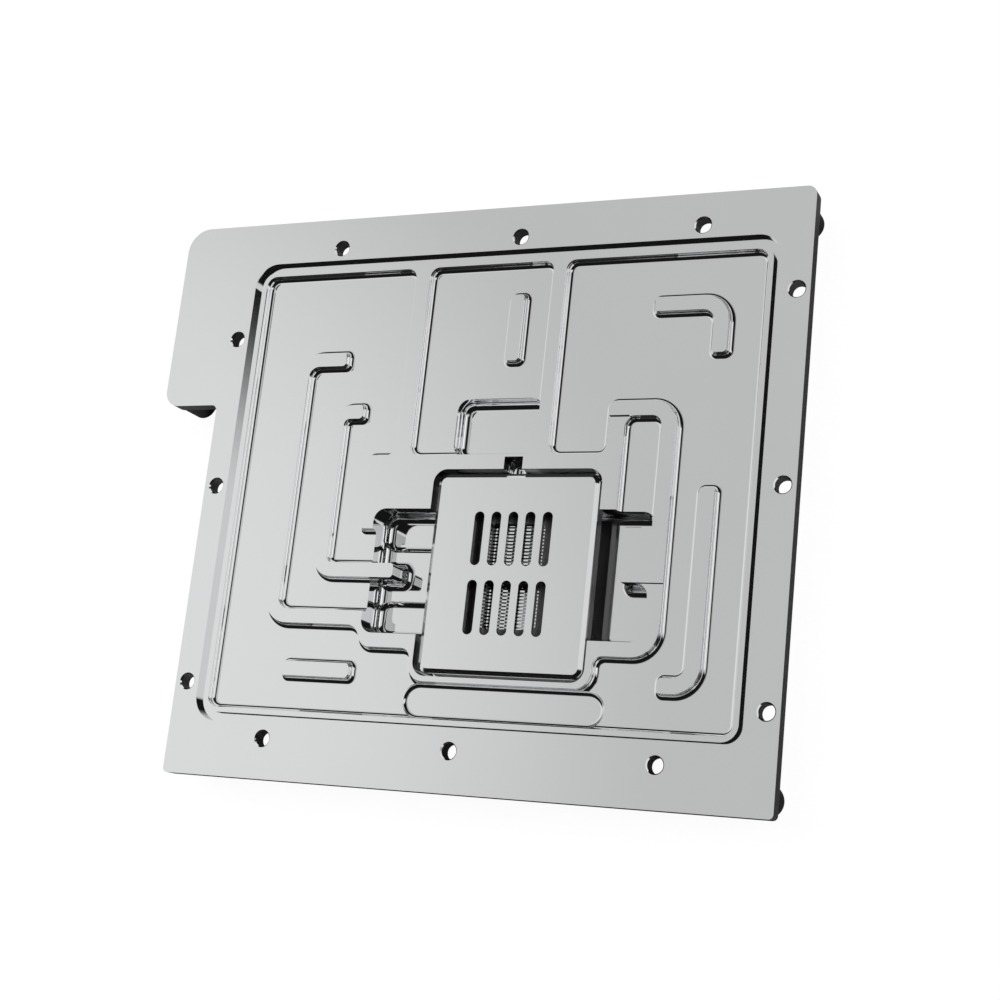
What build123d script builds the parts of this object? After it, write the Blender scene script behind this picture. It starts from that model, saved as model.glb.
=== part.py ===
from build123d import *
import os

# Cold plate of a graphics card's water block, with its jet plate, in millimetres.
# The origin is the centre of the face that touches the chip. +Z points out of the
# channel side, +Y to the long edge with the board's slot cover, +X away from the tab.

# Levels, measured down from the channel side's top face
face_height = 7.7
rim_thickness = 3.0
groove_depth = 1.25
chamber_depth = 1.7
port_depth = 2.2
bay_depth = 5.0
ledge_depth = 6.4
manifold_depth = 7.0
seat_depth = 4.3
relief_depth = 0.55
fin_height = 2.0

# Outline of the plate
plate_right = 53.9
plate_left = 69.5
plate_top = 73.4
plate_bottom = 41.4
tab_left = 82.5
tab_bottom = 34.0
tab_top_radius = 5.0
tab_bottom_radius = 3.3
tab_inner_radius = 1.2
plate_top_radius = 1.8
plate_bottom_radius = 0.9

# Chamber field, with the seal groove round it
field_left = 61.4
field_right = 45.7
field_top = 61.6
field_bottom = 28.0
field_radius = 2.2
seal_land = 1.0
groove_width = 1.8
groove_radius = 5.0

# Cutter sizes: the radius in plan, and the ball nose at the floor
chamber_corner = 2.0
chamber_nose = 1.0
manifold_corner = 2.5
manifold_nose = 1.6
land_corner = 0.7
overrun = 1.0

# Ribs, each on its own centre line
rib_width = 2.8
rib_bend = 3.6
outer_rib_x = -49.8
outer_rib_top = 43.0
outer_rib_bottom = -9.4
outer_rib_end = -40.2
hook_rib_x = -40.2
hook_rib_top = 31.9
hook_rib_end = -34.9
hook_rib_nose = -23.9
hook_bend = 2.6
spine_rib_x = -3.8
spine_rib_top = 55.0
spine_rib_bottom = 41.6
corner_rib_x = 37.6
corner_rib_y = 51.7
corner_rib_start = 24.5
corner_rib_end = 41.9
loop_rib_x = 29.3
loop_rib_top = 31.6
foot_rib_x = 37.5
foot_rib_top = 16.4
foot_rib_y = -19.7
foot_rib_end = 31.3
bar_rib_left = -45.5
bar_rib_right = -30.9

# Raised island round the jet plate, and the two walls that divide the chambers
island_shelf = 2.9
seat_wall = 1.0
island_left = -32.2
island_notch = 8.2
shoulder_wall = 2.7
island_sway_top = -30.3
island_sway_bottom = -29.1
island_waist_left = -18.2
island_waist_right = 18.7
sway_radius = 2.7
waist_share = 0.31
foot_share = 0.52
loop_corner = 1.2
mouth_depth = 3.4
divider_left_x = -25.0
divider_left_width = 3.1
divider_right_x = 4.5
divider_right_width = 2.6

# Recesses that go below the chamber floors
manifold_half = 12.2
manifold_left = 29.4
manifold_right = 27.8
tongue_end = 22.2
tongue_width = 2.6
tongue_corner = 0.6
ledge_half = 4.5
relief_end = -8.7
slot_left = 20.5
slot_top = 30.1
bay_left = -14.8
bay_top = 34.5
port_left = -19.5
port_right = 21.4
notch_left = -2.9
notch_right = 0.9
notch_reach = 2.4

# Seat and fins
seat_width = 34.7
seat_length = 40.0
seat_corner = 2.7
fin_length = 28.5
fin_pitch = 0.66
fin_gap = 0.33
fin_rows = 36

# Jet plate: a block with the jet window, under a thin slotted sheet
jet_clearance = 0.75
jet_inset = 0.3
jet_recess = 0.5
sheet_thickness = 1.1
sheet_bevel_width = 0.8
sheet_bevel_height = 0.5
plenum_width = 18.0
plenum_length = 26.0
plenum_floor = 1.0
plenum_corner = 1.5
window_width = 11.0
window_length = 20.2
window_corner = 1.0
jet_slot_width = 2.0
jet_slot_length = 10.4
jet_slot_pitch = 3.5
jet_slot_row_pitch = 13.2
jet_slot_columns = 5
jet_slot_rows = 2

# Cover screw holes in the rim
screw_radius = 1.5
screw_countersink = 0.22
top_row_y = 67.0
top_row_x = (-44.6, -4.6, 32.6)
bottom_row_y = -33.6
bottom_row_x = (-47.8, -7.8, 32.2)
left_row_x = -66.8
left_row_y = (48.2, 16.8, -23.3)
right_row_x = 51.4
right_row_y = (53.4, 16.8, -23.3)

# Chip side: contact pads and the blind holes for the bracket
block_left = -31.4
block_right = 31.2
block_wall = 1.4
block_height = 0.1
block_corner = 2.0
pad_corner = 0.8
die_pad_size = 25.0
memory_height = -0.7
memory_left_x = -23.4
memory_right_x = 22.4
memory_width = 13.0
memory_length = 26.0
memory_bay_x = -5.8
memory_bay_y = 29.4
memory_bay_width = 21.0
memory_bay_length = 14.0
power_height = 0.3
power_width = 8.0
power_left_x = -55.0
power_right_x = 41.5
power_length = 74.0
power_y = 17.0
bracket_spacing_x = 54.0
bracket_spacing_y = 35.0
bracket_radius = 1.05
bracket_depth = 4.0

# Standoffs pressed into the rim
standoff_radius = 3.0
standoff_drop = 2.3
standoff_bore_radius = 1.25
standoff_bore_depth = 5.5
shank_radius = 2.1
shank_length = 1.5
shank_clearance = 0.02
shank_relief = 0.3
standoff_chamfer = 0.3
standoff_places = (
    (-79.3, 37.3),
    (-79.3, 68.0),
    (-24.6, 69.6),
    (50.0, 69.6),
    (50.0, -37.6),
    (12.2, -37.6),
    (-27.8, -37.6),
    (-65.6, -37.6),
)

# Levels above the chip face, worked out from the depths
face_z = face_height
rim_z = face_z - rim_thickness
groove_z = face_z - groove_depth
chamber_z = face_z - chamber_depth
seat_z = face_z - seat_depth
fin_floor_z = seat_z - fin_height
sheet_z = face_z - jet_recess
sheet_floor_z = sheet_z - sheet_thickness
foot_z = -standoff_drop
cut_z = face_z + overrun

# The island and the block behind it keep their walls round the seat
island_top = seat_length / 2 + island_shelf
island_bottom = -seat_length / 2 - seat_wall
island_shoulder = -manifold_half - shoulder_wall
waist_radius = (island_shoulder - island_bottom) * waist_share
foot_radius = (island_shoulder - island_bottom) * foot_share
notch_top = seat_length / 2 + notch_reach
block_top = island_top + block_wall
block_bottom = island_bottom - block_wall

# The chamber floor runs this far in under the left manifold, clear of its own rounded edge
mouth_x = mouth_depth - manifold_left

# Jet plate's outline follows the seat, and the screw holes stand in rows on the rim
sheet_width = seat_width - jet_clearance * 2
sheet_length = seat_length - jet_clearance * 2
sheet_corner = seat_corner - jet_clearance
screw_places = (
    [(x, top_row_y) for x in top_row_x]
    + [(x, bottom_row_y) for x in bottom_row_x]
    + [(left_row_x, y) for y in left_row_y]
    + [(right_row_x, y) for y in right_row_y]
)

# How close two ends count as one corner, how far beside it to probe, and how straight
# a joint of two edges counts as tangent
match_gap = 0.001
probe_step = 0.05
tangent_share = 0.1


def between(left, right, bottom, top, radius, mode=Mode.ADD):
    """A rectangle between four sides, with rounded corners, in the current sketch."""
    with Locations(((left + right) / 2, (bottom + top) / 2)):
        RectangleRounded(right - left, top - bottom, radius, mode=mode)


def sharp_corners(sketch, outward):
    """The corners of a sketch that stand out of it, or else those that cut into it."""
    found = []
    for face in sketch.faces():
        for vertex in face.vertices():
            place = Vector(vertex)
            away = []
            for edge in face.edges():
                if (edge @ 0 - place).length < match_gap:
                    away.append(edge % 0)
                if (edge @ 1 - place).length < match_gap:
                    away.append(-(edge % 1))
            middle = away[0] + away[1]
            if middle.length < tangent_share:
                continue
            if face.is_inside(place + middle.normalized() * probe_step) == outward:
                found.append(vertex)
    return found


def pocket(floor, nose, open_side=None, across=Axis.X):
    """A cutter that stands on a sketch of the pocket's floor, with a rounded lower edge."""
    with BuildPart() as cutter:
        extrude(floor, amount=cut_z - floor.faces()[0].center().Z)
        edges = cutter.faces().group_by(Axis.Z)[0].edges()
        if open_side is not None:
            edges = edges.filter_by(
                lambda edge: abs(edge.center().dot(across.direction) - open_side) > match_gap
            )
        fillet(edges, nose)
    return cutter.part


# What stays at face level inside the field: the island with its loop, the dividers, the ribs
with BuildSketch() as lands:
    with BuildLine():
        Polyline(
            (island_left, island_top),
            (seat_width / 2, island_top),
            (seat_width / 2, loop_rib_top + rib_width / 2),
            (loop_rib_x + rib_width / 2, loop_rib_top + rib_width / 2),
            (loop_rib_x + rib_width / 2, island_shoulder),
            (island_waist_right, island_shoulder),
            (island_waist_right, island_bottom),
            (island_waist_left, island_bottom),
            (island_waist_left, island_shoulder),
            (island_sway_bottom, island_shoulder),
            (island_sway_top, outer_rib_bottom - rib_width / 2),
            (mouth_x, outer_rib_bottom - rib_width / 2),
            (mouth_x, island_notch),
            (island_left, island_notch),
            close=True,
        )
    make_face()
    with Locations((divider_left_x, (island_top + field_top + overrun) / 2)):
        Rectangle(divider_left_width, field_top + overrun - island_top)
    with Locations((divider_right_x, (island_top + field_top + overrun) / 2)):
        Rectangle(divider_right_width, field_top + overrun - island_top)
    with BuildLine():
        FilletPolyline(
            (outer_rib_end, outer_rib_top),
            (outer_rib_x, outer_rib_top),
            (outer_rib_x, outer_rib_bottom),
            (mouth_x, outer_rib_bottom),
            radius=rib_bend,
        )
        FilletPolyline(
            (hook_rib_end, hook_rib_top),
            (hook_rib_x, hook_rib_top),
            (hook_rib_x, 0),
            (hook_rib_nose, 0),
            radius=hook_bend,
        )
        Line((spine_rib_x, spine_rib_bottom), (spine_rib_x, spine_rib_top))
        FilletPolyline(
            (corner_rib_start, corner_rib_y),
            (corner_rib_x, corner_rib_y),
            (corner_rib_x, corner_rib_end),
            radius=rib_bend,
        )
        FilletPolyline(
            (foot_rib_x, foot_rib_top),
            (foot_rib_x, foot_rib_y),
            (foot_rib_end, foot_rib_y),
            radius=rib_bend,
        )
        Line((bar_rib_left, foot_rib_y), (bar_rib_right, foot_rib_y))
    trace(line_width=rib_width)

# Floors of the pockets that are cut from the channel side
with BuildSketch(Plane.XY.offset(chamber_z)) as chambers:
    between(-field_left, field_right, -field_bottom, field_top, field_radius)
    add(lands.sketch, mode=Mode.SUBTRACT)
    for x, y, radius in (
        (loop_rib_x + rib_width / 2, loop_rib_top + rib_width / 2, rib_bend + rib_width / 2),
        (loop_rib_x + rib_width / 2, island_shoulder, rib_bend + rib_width / 2),
        (seat_width / 2, loop_rib_top + rib_width / 2, loop_corner),
        (island_waist_right, island_shoulder, waist_radius),
        (island_waist_right, island_bottom, foot_radius),
        (island_waist_left, island_bottom, foot_radius),
        (island_waist_left, island_shoulder, waist_radius),
        (island_sway_bottom, island_shoulder, sway_radius),
        (island_sway_top, outer_rib_bottom - rib_width / 2, sway_radius),
    ):
        fillet(chambers.vertices().sort_by_distance((x, y))[0], radius)
    fillet(sharp_corners(chambers, True), chamber_corner)
    fillet(sharp_corners(chambers, False), land_corner)

with BuildSketch(Plane.XY.offset(chamber_z)) as slot_floor:
    between(
        slot_left,
        loop_rib_x - rib_width / 2,
        manifold_half - overrun - manifold_nose,
        slot_top,
        chamber_corner,
    )

with BuildSketch(Plane.XY.offset(face_z - port_depth)) as port_floor:
    with Locations(((port_left + port_right) / 2, (island_bottom - field_bottom) / 2)):
        SlotOverall(port_right - port_left, island_bottom + field_bottom)

with BuildSketch(Plane.XY.offset(face_z - bay_depth)) as bay_floor:
    between(
        bay_left,
        divider_right_x - divider_right_width / 2,
        island_top,
        bay_top,
        manifold_corner,
    )

with BuildSketch(Plane.XY.offset(face_z - ledge_depth)) as ledge_floor:
    with Locations((-(manifold_left + fin_length / 2) / 2, 0)):
        Rectangle(manifold_left - fin_length / 2, manifold_half * 2)
    fillet(ledge_floor.vertices().group_by(Axis.X)[0], manifold_corner)
    with Locations(((hook_rib_nose - manifold_left) / 2 - overrun / 2, 0)):
        Rectangle(hook_rib_nose + manifold_left + overrun, rib_width, mode=Mode.SUBTRACT)
    fillet(sharp_corners(ledge_floor, False), land_corner)

with BuildSketch(Plane.XY.offset(face_z - manifold_depth)) as left_floors:
    with Locations((-(manifold_left + fin_length / 2) / 2, (manifold_half + ledge_half) / 2)):
        Rectangle(manifold_left - fin_length / 2, manifold_half - ledge_half)
    with Locations((-(manifold_left + fin_length / 2) / 2, -(manifold_half + ledge_half) / 2)):
        Rectangle(manifold_left - fin_length / 2, manifold_half - ledge_half)
    fillet(left_floors.vertices().group_by(Axis.X)[0], manifold_corner)

with BuildSketch(Plane.XY.offset(face_z - manifold_depth)) as right_floor:
    with Locations(((manifold_right + fin_length / 2) / 2, 0)):
        Rectangle(manifold_right - fin_length / 2, manifold_half * 2)
    fillet(right_floor.vertices().group_by(Axis.X)[-1], manifold_corner)
    with Locations(((tongue_end + manifold_right + overrun) / 2, 0)):
        Rectangle(manifold_right + overrun - tongue_end, tongue_width, mode=Mode.SUBTRACT)
    roots = [corner for corner in sharp_corners(right_floor, True) if corner.X > tongue_end]
    fillet(roots, manifold_corner)
    fillet(sharp_corners(right_floor, False), tongue_corner)

notch_start = seat_length / 2 - overrun
with BuildSketch(Plane.XY.offset(seat_z)) as notch_floor:
    with Locations(((notch_left + notch_right) / 2, (notch_start + notch_top) / 2)):
        Rectangle(notch_right - notch_left, notch_top - notch_start)

# Shallow reliefs let coolant over two lands: into the slot, and out under the tongue
with BuildSketch(Plane.XY.offset(face_z - relief_depth)) as reliefs:
    relief_left = seat_width / 2 - chamber_corner
    with Locations(
        (
            (relief_left + slot_left + overrun) / 2,
            (island_top + loop_rib_top - rib_width / 2) / 2,
        )
    ):
        Rectangle(slot_left + overrun - relief_left, loop_rib_top - rib_width / 2 - island_top)
    relief_left = manifold_right - manifold_corner
    relief_right = loop_rib_x + rib_width / 2 + overrun
    with Locations(((relief_left + relief_right) / 2, (relief_end - tongue_width / 2) / 2)):
        Rectangle(relief_right - relief_left, -relief_end - tongue_width / 2)

# The seal groove runs round the field on its own land
groove_inset = seal_land + groove_width
with BuildSketch(Plane.XY.offset(groove_z)) as groove_floor:
    between(
        -field_left - groove_inset,
        field_right + groove_inset,
        -field_bottom - groove_inset,
        field_top + groove_inset,
        groove_radius,
    )
    between(
        -field_left - seal_land,
        field_right + seal_land,
        -field_bottom - seal_land,
        field_top + seal_land,
        groove_radius - groove_width,
        mode=Mode.SUBTRACT,
    )

# The plate is one piece of copper, milled from both sides and nickel plated
with BuildPart() as cold_plate:
    with BuildSketch(Plane.XY.offset(rim_z)) as outline:
        with BuildLine():
            Polyline(
                (plate_right, plate_top),
                (-tab_left, plate_top),
                (-tab_left, tab_bottom),
                (-plate_left, tab_bottom),
                (-plate_left, -plate_bottom),
                (plate_right, -plate_bottom),
                close=True,
            )
        make_face()
        for x, y, radius in (
            (plate_right, plate_top, plate_top_radius),
            (-tab_left, plate_top, tab_top_radius),
            (-tab_left, tab_bottom, tab_bottom_radius),
            (-plate_left, tab_bottom, tab_inner_radius),
            (-plate_left, -plate_bottom, plate_bottom_radius),
            (plate_right, -plate_bottom, plate_bottom_radius),
        ):
            fillet(outline.vertices().sort_by_distance((x, y))[0], radius)
    extrude(amount=rim_thickness)

    # Chip side: the block behind the fins and manifolds, the power bars, then the pads
    with BuildSketch(Plane.XY.offset(block_height)):
        between(block_left, block_right, block_bottom, block_top, block_corner)
    extrude(until=Until.NEXT)
    with BuildSketch(Plane.XY.offset(power_height)):
        with Locations((power_left_x, power_y), (power_right_x, power_y)):
            RectangleRounded(power_width, power_length, block_corner)
    extrude(until=Until.NEXT)
    with BuildSketch(Plane.XY.offset(memory_height)):
        with Locations((memory_left_x, 0), (memory_right_x, 0)):
            RectangleRounded(memory_width, memory_length, pad_corner)
        with Locations((memory_bay_x, memory_bay_y)):
            RectangleRounded(memory_bay_width, memory_bay_length, pad_corner)
    extrude(until=Until.NEXT)
    with BuildSketch():
        RectangleRounded(die_pad_size, die_pad_size, pad_corner)
    extrude(amount=block_height)
    with BuildSketch():
        with GridLocations(bracket_spacing_x, bracket_spacing_y, 2, 2):
            Circle(bracket_radius)
    extrude(amount=block_height + bracket_depth, mode=Mode.SUBTRACT)
    with BuildSketch(Plane.XY.offset(rim_z)):
        with Locations(*standoff_places):
            Circle(shank_radius)
    extrude(amount=shank_length + shank_relief, mode=Mode.SUBTRACT)

    # Channel side, from the shallowest cut to the fins
    extrude(groove_floor.sketch, amount=cut_z - groove_z, mode=Mode.SUBTRACT)
    for floor, nose in (
        (chambers, chamber_nose),
        (slot_floor, chamber_nose),
        (port_floor, chamber_nose),
        (bay_floor, manifold_nose),
    ):
        add(pocket(floor.sketch, nose), mode=Mode.SUBTRACT)
    add(pocket(ledge_floor.sketch, manifold_nose, -fin_length / 2), mode=Mode.SUBTRACT)
    add(pocket(left_floors.sketch, manifold_nose, -fin_length / 2), mode=Mode.SUBTRACT)
    add(pocket(right_floor.sketch, manifold_nose, fin_length / 2), mode=Mode.SUBTRACT)
    with BuildSketch(Plane.XY.offset(seat_z)):
        RectangleRounded(seat_width, seat_length, seat_corner)
    extrude(amount=cut_z - seat_z, mode=Mode.SUBTRACT)
    add(pocket(notch_floor.sketch, manifold_nose, notch_start, Axis.Y), mode=Mode.SUBTRACT)
    extrude(reliefs.sketch, amount=cut_z - face_z + relief_depth, mode=Mode.SUBTRACT)
    with BuildSketch(Plane.XY.offset(fin_floor_z)):
        with GridLocations(fin_length, fin_pitch, 1, fin_rows):
            Rectangle(fin_length, fin_gap)
    extrude(amount=cut_z - fin_floor_z, mode=Mode.SUBTRACT)
    with Locations(*[Location((x, y, face_z)) for x, y in screw_places]):
        CounterSinkHole(screw_radius, screw_radius + screw_countersink)
cold_plate.part.label = "cold_plate"

# Jet plate: the block stands on the seat and the fin tips, the sheet lies on the block
with BuildPart() as jet_block:
    with BuildSketch(Plane.XY.offset(seat_z)):
        RectangleRounded(sheet_width - jet_inset * 2, sheet_length - jet_inset * 2, sheet_corner - jet_inset)
        RectangleRounded(window_width, window_length, window_corner, mode=Mode.SUBTRACT)
    extrude(amount=sheet_floor_z - seat_z)
    with BuildSketch(Plane.XY.offset(seat_z + plenum_floor)):
        RectangleRounded(plenum_width, plenum_length, plenum_corner)
    extrude(amount=sheet_floor_z - seat_z, mode=Mode.SUBTRACT)
jet_block.part.label = "jet_block"

with BuildPart() as jet_sheet:
    with BuildSketch(Plane.XY.offset(sheet_floor_z)):
        RectangleRounded(sheet_width, sheet_length, sheet_corner)
    extrude(amount=sheet_thickness)
    rim_edges = jet_sheet.faces().sort_by(Axis.Z)[-1].edges()
    chamfer(rim_edges, sheet_bevel_height, sheet_bevel_width)
    with BuildSketch(Plane.XY.offset(sheet_floor_z)):
        with GridLocations(jet_slot_pitch, jet_slot_row_pitch, jet_slot_columns, jet_slot_rows):
            SlotOverall(jet_slot_length, jet_slot_width, rotation=90)
    extrude(amount=sheet_thickness, mode=Mode.SUBTRACT)
jet_sheet.part.label = "jet_sheet"

os.makedirs("parts", exist_ok=True)
export_step(cold_plate.part, "parts/cold_plate.step")
export_step(jet_block.part, "parts/jet_block.step")
export_step(jet_sheet.part, "parts/jet_sheet.step")

# Standoffs hold the plate off the board, each with a shank pressed into the rim
for number, place in enumerate(standoff_places, 1):
    with BuildPart() as standoff:
        with BuildSketch(Plane.XY.offset(foot_z)):
            with Locations(place):
                Circle(standoff_radius)
        extrude(amount=rim_z - foot_z)
        chamfer(standoff.edges().group_by(Axis.Z)[0], standoff_chamfer)
        with BuildSketch(Plane.XY.offset(rim_z)):
            with Locations(place):
                Circle(shank_radius - shank_clearance)
        extrude(amount=shank_length)
        with BuildSketch(Plane.XY.offset(foot_z)):
            with Locations(place):
                Circle(standoff_bore_radius)
        extrude(amount=standoff_bore_depth, mode=Mode.SUBTRACT)
    standoff.part.label = f"standoff_{number}"
    export_step(standoff.part, f"parts/standoff_{number}.step")
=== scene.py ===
import math

import bpy
from mathutils import Matrix, Vector


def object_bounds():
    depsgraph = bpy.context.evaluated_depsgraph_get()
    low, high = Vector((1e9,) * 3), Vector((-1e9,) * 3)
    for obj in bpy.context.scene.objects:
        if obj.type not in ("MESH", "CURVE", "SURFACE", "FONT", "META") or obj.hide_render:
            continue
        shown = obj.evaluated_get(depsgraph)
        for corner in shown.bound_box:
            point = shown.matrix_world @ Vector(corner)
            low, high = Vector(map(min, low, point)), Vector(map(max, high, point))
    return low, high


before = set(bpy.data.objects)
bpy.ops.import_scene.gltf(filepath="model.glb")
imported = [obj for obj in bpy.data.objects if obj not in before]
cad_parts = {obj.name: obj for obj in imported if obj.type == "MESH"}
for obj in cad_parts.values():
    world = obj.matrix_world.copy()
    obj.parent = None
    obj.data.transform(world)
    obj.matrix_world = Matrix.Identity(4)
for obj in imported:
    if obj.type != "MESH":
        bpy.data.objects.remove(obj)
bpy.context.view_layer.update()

MM = 0.001

# The camera stands above the lower right corner and is turned so that the plate's long
# edges rise to the right
CAMERA_PLACE = Vector((135.95, -61.70, 301.13)) * MM
CAMERA_RIGHT = Vector((0.9091, 0.1061, -0.4029))
CAMERA_UP = Vector((-0.0020, 0.9681, 0.2504))
CAMERA_LENS = 63.79
CAMERA_SENSOR = 36.0
CAMERA_NEAREST = 1.0 * MM

# Metals: polished nickel on the plate and the jet sheet, a duller block under the sheet whose
# dark grey is painted shade, for the shade it lies in under the sheet, and dark posts whose grey
# is painted shade, for the dark reflections they show
PLATE_COLOUR = (0.893, 0.901, 0.906)
PLATE_ROUGHNESS = 0.055
SHEET_COLOUR = (0.917, 0.926, 0.931)
SHEET_ROUGHNESS = 0.09
BRIGHT_RIPPLE = 0.06
# The block's low colour is painted shade: it stands in for the shade under the jet sheet
BLOCK_PAINTED_SHADE_COLOUR = (0.34, 0.34, 0.34)
BLOCK_ROUGHNESS = 0.42
# The posts' low colour is painted shade: it stands in for the dark reflections they show
POST_PAINTED_SHADE_COLOUR = (0.42, 0.42, 0.42)
POST_ROUGHNESS = 0.18
DARK_RIPPLE = 0.1

# Faint clouds in the colour and the gloss, and the fine ripple over them. Scales are per metre
CLOUD_SCALE = 60.0
CLOUD_DETAIL = 3.0
CLOUD_DARK_SHARE = 0.985
CLOUD_BRIGHT_SHARE = 1.01
GLOSSY_SHARE = 0.85
DULL_SHARE = 1.15
RIPPLE_SCALE = 900.0
RIPPLE_DETAIL = 2.0
RIPPLE_HEIGHT = 0.01 * MM

# The studio's lights lie all round, far off. Most are placed by slopes, which say how far a
# direction leans from straight up: across is x / z and along is y / z, with z no lower than
# this for a direction of length 1. Each edge is a pair, where the light starts and where it
# is full
LOWEST_RISE = 0.02

# The large soft panel overhead, with a glow round one spot on the left, whose edge is given
# by the cosines of the angles from that spot
OVERHEAD_LEFT = (-40.0, -30.0)
OVERHEAD_RIGHT = (0.15, -0.27)
OVERHEAD_NEAR = (-0.12, 0.04)
OVERHEAD_FAR = (0.85, 0.55)
OVERHEAD_LEVEL = 0.675
GLOW_LEVEL = 0.28
GLOW_AIM = Vector((-0.663, 0.093, 0.743)).normalized()
GLOW_EDGE = (math.cos(math.radians(23.0)), math.cos(math.radians(6.0)))

# The strip light on the right, a wedge that widens outwards. Its near and far edges are
# shares of how far across they lie. It gains light towards its outer end, and a frame bar
# dims it near its inner end
STRIP_INNER = (0.39, 0.44)
STRIP_OUTER = (2.4, 1.9)
STRIP_NEAR_SHARE = (-0.08, 0.12)
STRIP_FAR_SHARE = (0.6, 0.38)
STRIP_LEAST_ACROSS = 0.05
STRIP_LEVEL = 0.88
STRIP_GAIN_EDGE = (1.0, 1.5)
STRIP_GAIN = 0.5
BAR_INNER = (0.455, 0.475)
BAR_OUTER = (0.56, 0.54)
BAR_LOSS = 0.35

# The back wall, and the pale horizon all round, which is dark only past the plate's lower
# edge. The horizon's top is given in z, and its dark side in how nearly a direction faces it
WALL_EDGE = (2.2, 3.2)
WALL_LEVEL = 0.75
HORIZON_TOP = (0.36, 0.28)
HORIZON_LEVEL = 0.97
HORIZON_DARK_LEVEL = 0.03
DARK_SIDE = Vector((-0.39, -0.92, 0.0))
DARK_SIDE_EDGE = (0.58, 0.42)

# What little light comes from the rest of the studio
GLOOM_LEVEL = 0.01

# The floor shows as white. Its own light fades out of mirrored rays that reach it from close by
FLOOR_WIDTH = 6.0
FLOOR_GREY = 0.35
FLOOR_LIGHT = 0.95
FLOOR_CLEAR = (20.0 * MM, 150.0 * MM)


class Sums:
    """Sums inside a node tree, of sockets and plain numbers."""

    def __init__(self, tree):
        self.nodes = tree.nodes
        self.links = tree.links

    def node_sum(self, operation, first, second):
        """A maths node for one sum."""
        node = self.nodes.new("ShaderNodeMath")
        node.operation = operation
        for place, value in enumerate((first, second)):
            if isinstance(value, float):
                node.inputs[place].default_value = value
            else:
                self.links.new(value, node.inputs[place])
        return node.outputs["Value"]

    def plus(self, first, second):
        return self.node_sum("ADD", first, second)

    def minus(self, first, second):
        return self.node_sum("SUBTRACT", first, second)

    def times(self, first, second):
        return self.node_sum("MULTIPLY", first, second)

    def over(self, first, second):
        return self.node_sum("DIVIDE", first, second)

    def larger(self, first, second):
        return self.node_sum("MAXIMUM", first, second)

    def facing(self, way, aim):
        """How nearly a direction points along an aim, from -1 to 1."""
        node = self.nodes.new("ShaderNodeVectorMath")
        node.operation = "DOT_PRODUCT"
        self.links.new(way, node.inputs[0])
        node.inputs[1].default_value = aim
        return node.outputs["Value"]

    def edge(self, value, ends):
        """A soft edge, which rises from 0 to 1 as the value goes between its two ends."""
        node = self.nodes.new("ShaderNodeMapRange")
        node.interpolation_type = "SMOOTHSTEP"
        start, full = ends
        node.inputs["From Min"].default_value = start
        node.inputs["From Max"].default_value = full
        self.links.new(value, node.inputs["Value"])
        return node.outputs["Result"]

    def panel(self, across, along, left, right, near, far):
        """A light panel with four soft edges."""
        width = self.times(self.edge(across, left), self.edge(across, right))
        return self.times(self.times(width, self.edge(along, near)), self.edge(along, far))


def new_material(name):
    """A node material that holds nothing but its output."""
    material = bpy.data.materials.new(name)
    material.use_nodes = True
    tree = material.node_tree
    tree.nodes.clear()
    output = tree.nodes.new("ShaderNodeOutputMaterial")
    return material, tree, output


def noise(tree, where, scale, detail):
    """Noise that is fixed to the object."""
    node = tree.nodes.new("ShaderNodeTexNoise")
    node.inputs["Scale"].default_value = scale
    node.inputs["Detail"].default_value = detail
    tree.links.new(where.outputs["Object"], node.inputs["Vector"])
    return node.outputs["Fac"]


def finished_metal(name, colour, roughness, ripple):
    """A metal with faint clouds in its colour and its gloss, over a very fine ripple."""
    material, tree, output = new_material(name)
    shader = tree.nodes.new("ShaderNodeBsdfPrincipled")
    shader.inputs["Metallic"].default_value = 1.0
    tree.links.new(shader.outputs["BSDF"], output.inputs["Surface"])
    where = tree.nodes.new("ShaderNodeTexCoord")

    clouds = noise(tree, where, CLOUD_SCALE, CLOUD_DETAIL)
    tint = tree.nodes.new("ShaderNodeMix")
    tint.data_type = "RGBA"
    tint.inputs["A"].default_value = (*[part * CLOUD_DARK_SHARE for part in colour], 1.0)
    tint.inputs["B"].default_value = (*[part * CLOUD_BRIGHT_SHARE for part in colour], 1.0)
    tree.links.new(clouds, tint.inputs["Factor"])
    tree.links.new(tint.outputs["Result"], shader.inputs["Base Color"])
    gloss = tree.nodes.new("ShaderNodeMapRange")
    gloss.inputs["To Min"].default_value = roughness * GLOSSY_SHARE
    gloss.inputs["To Max"].default_value = roughness * DULL_SHARE
    tree.links.new(clouds, gloss.inputs["Value"])
    tree.links.new(gloss.outputs["Result"], shader.inputs["Roughness"])

    bump = tree.nodes.new("ShaderNodeBump")
    bump.inputs["Strength"].default_value = ripple
    bump.inputs["Distance"].default_value = RIPPLE_HEIGHT
    tree.links.new(noise(tree, where, RIPPLE_SCALE, RIPPLE_DETAIL), bump.inputs["Height"])
    tree.links.new(bump.outputs["Normal"], shader.inputs["Normal"])
    return material


def dress(name, material):
    """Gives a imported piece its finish."""
    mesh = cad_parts[name].data
    mesh.materials.clear()
    mesh.materials.append(material)


def make_camera():
    """A plain lens with no shift, which looks along the line square to its right and up."""
    camera = bpy.data.objects.new("camera", bpy.data.cameras.new("camera"))
    bpy.context.scene.collection.objects.link(camera)
    camera.data.lens = CAMERA_LENS
    camera.data.sensor_width = CAMERA_SENSOR
    camera.data.clip_start = CAMERA_NEAREST
    back = CAMERA_RIGHT.cross(CAMERA_UP).normalized()
    up = back.cross(CAMERA_RIGHT).normalized()
    turn = Matrix((CAMERA_RIGHT.normalized(), up, back)).transposed()
    camera.matrix_world = Matrix.Translation(CAMERA_PLACE) @ turn.to_4x4()
    bpy.context.scene.camera = camera


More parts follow.
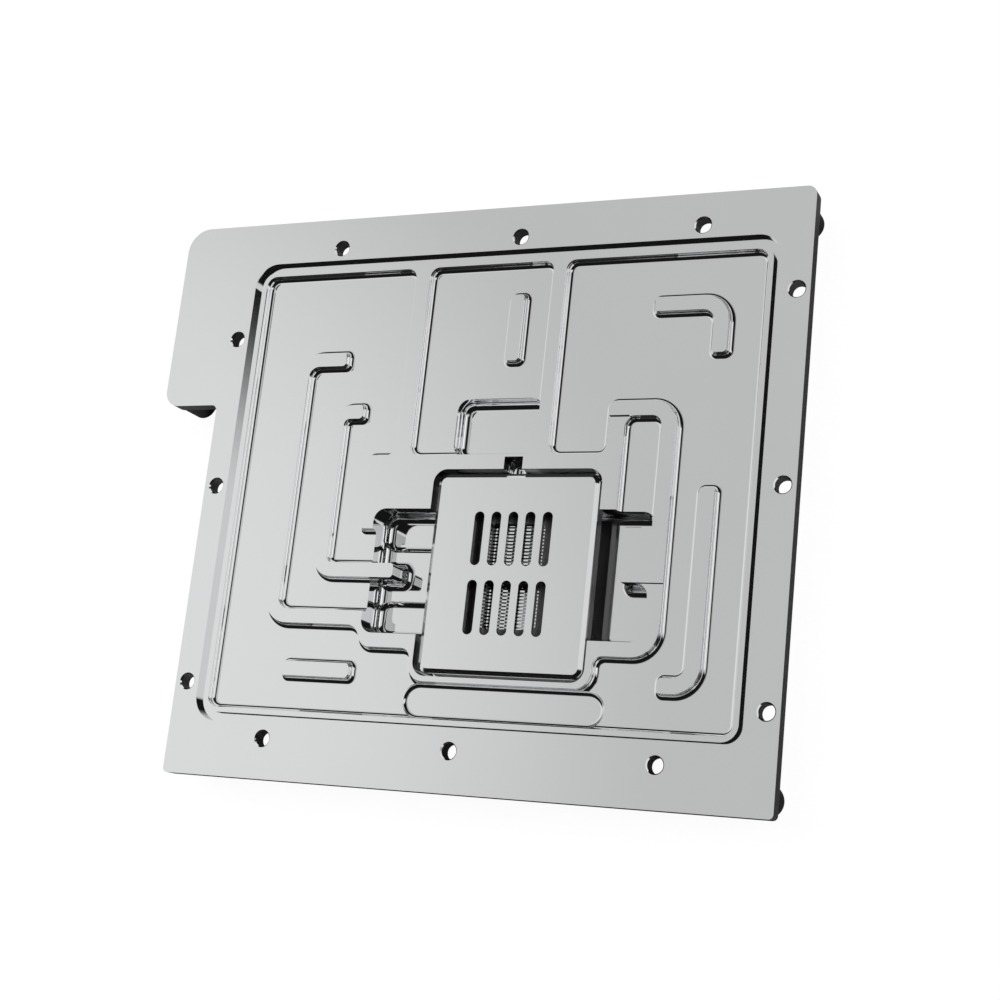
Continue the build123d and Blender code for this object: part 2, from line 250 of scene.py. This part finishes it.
def overhead_panel(sums, way, across, along):
    """The large panel and the glow in it."""
    shape = sums.panel(across, along, OVERHEAD_LEFT, OVERHEAD_RIGHT, OVERHEAD_NEAR, OVERHEAD_FAR)
    glow = sums.times(sums.edge(sums.facing(way, GLOW_AIM), GLOW_EDGE), GLOW_LEVEL)
    return sums.times(shape, sums.plus(OVERHEAD_LEVEL, glow))


def strip_light(sums, across, along):
    """The wedge on the right, brighter at its outer end and dimmer behind its frame bar."""
    fan = sums.over(along, sums.larger(across, STRIP_LEAST_ACROSS))
    wedge = sums.panel(across, fan, STRIP_INNER, STRIP_OUTER, STRIP_NEAR_SHARE, STRIP_FAR_SHARE)
    gain = sums.times(sums.edge(across, STRIP_GAIN_EDGE), STRIP_GAIN)
    bar = sums.times(sums.edge(across, BAR_INNER), sums.edge(across, BAR_OUTER))
    level = sums.minus(sums.plus(gain, STRIP_LEVEL), sums.times(bar, BAR_LOSS))
    return sums.times(wedge, level)


def pale_horizon(sums, way, rise):
    """The band of light all round, apart from its dark side."""
    open_side = sums.edge(sums.facing(way, DARK_SIDE), DARK_SIDE_EDGE)
    level = sums.plus(sums.times(open_side, HORIZON_LEVEL), HORIZON_DARK_LEVEL)
    return sums.times(sums.edge(rise, HORIZON_TOP), level)


def make_world():
    """The dark studio and its lights. The camera itself sees a pale world past the floor."""
    world = bpy.data.worlds.new("studio")
    bpy.context.scene.world = world
    world.use_nodes = True
    tree = world.node_tree
    tree.nodes.clear()
    output = tree.nodes.new("ShaderNodeOutputWorld")
    background = tree.nodes.new("ShaderNodeBackground")
    tree.links.new(background.outputs["Background"], output.inputs["Surface"])
    way = tree.nodes.new("ShaderNodeTexCoord").outputs["Generated"]
    split = tree.nodes.new("ShaderNodeSeparateXYZ")
    tree.links.new(way, split.inputs["Vector"])
    path = tree.nodes.new("ShaderNodeLightPath")

    sums = Sums(tree)
    rise = split.outputs["Z"]
    height = sums.larger(rise, LOWEST_RISE)
    across = sums.over(split.outputs["X"], height)
    along = sums.over(split.outputs["Y"], height)
    back_wall = sums.times(sums.edge(along, WALL_EDGE), WALL_LEVEL)
    light = sums.plus(overhead_panel(sums, way, across, along), strip_light(sums, across, along))
    light = sums.larger(light, back_wall)
    light = sums.larger(light, pale_horizon(sums, way, rise))
    light = sums.plus(light, GLOOM_LEVEL)
    light = sums.larger(light, path.outputs["Is Camera Ray"])
    tree.links.new(light, background.inputs["Strength"])


def make_floor():
    """A pale floor that shows as white and keeps the object's shadow."""
    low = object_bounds()[0][2]
    bpy.ops.mesh.primitive_plane_add(size=FLOOR_WIDTH, location=(0.0, 0.0, low))
    floor = bpy.context.active_object
    floor.name = "floor"
    material, tree, output = new_material("floor_white")
    matte = tree.nodes.new("ShaderNodeBsdfDiffuse")
    matte.inputs["Color"].default_value = (FLOOR_GREY, FLOOR_GREY, FLOOR_GREY, 1.0)
    glow = tree.nodes.new("ShaderNodeEmission")
    path = tree.nodes.new("ShaderNodeLightPath")
    sums = Sums(tree)
    mirrored = sums.plus(path.outputs["Is Glossy Ray"], path.outputs["Is Transmission Ray"])
    mirrored = sums.times(mirrored, sums.edge(path.outputs["Ray Length"], FLOOR_CLEAR))
    seen = sums.plus(path.outputs["Is Camera Ray"], mirrored)
    tree.links.new(sums.times(seen, FLOOR_LIGHT), glow.inputs["Strength"])
    both = tree.nodes.new("ShaderNodeAddShader")
    tree.links.new(matte.outputs["BSDF"], both.inputs[0])
    tree.links.new(glow.outputs["Emission"], both.inputs[1])
    tree.links.new(both.outputs["Shader"], output.inputs["Surface"])
    floor.data.materials.append(material)


dress("cold_plate", finished_metal("plate_nickel", PLATE_COLOUR, PLATE_ROUGHNESS, BRIGHT_RIPPLE))
dress("jet_sheet", finished_metal("sheet_nickel", SHEET_COLOUR, SHEET_ROUGHNESS, BRIGHT_RIPPLE))
# The block's dark grey finish is painted shade from under the jet sheet
dress("jet_block", finished_metal("block_painted_shade", BLOCK_PAINTED_SHADE_COLOUR, BLOCK_ROUGHNESS, DARK_RIPPLE))
# The posts' dark grey is painted shade, for the dark reflections they show
post_painted_shade = finished_metal("post_painted_shade", POST_PAINTED_SHADE_COLOUR, POST_ROUGHNESS, DARK_RIPPLE)
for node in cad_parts:
    if node.startswith("standoff"):
        dress(node, post_painted_shade)

make_camera()
make_world()
make_floor()
bpy.context.scene.view_settings.view_transform = "Standard"
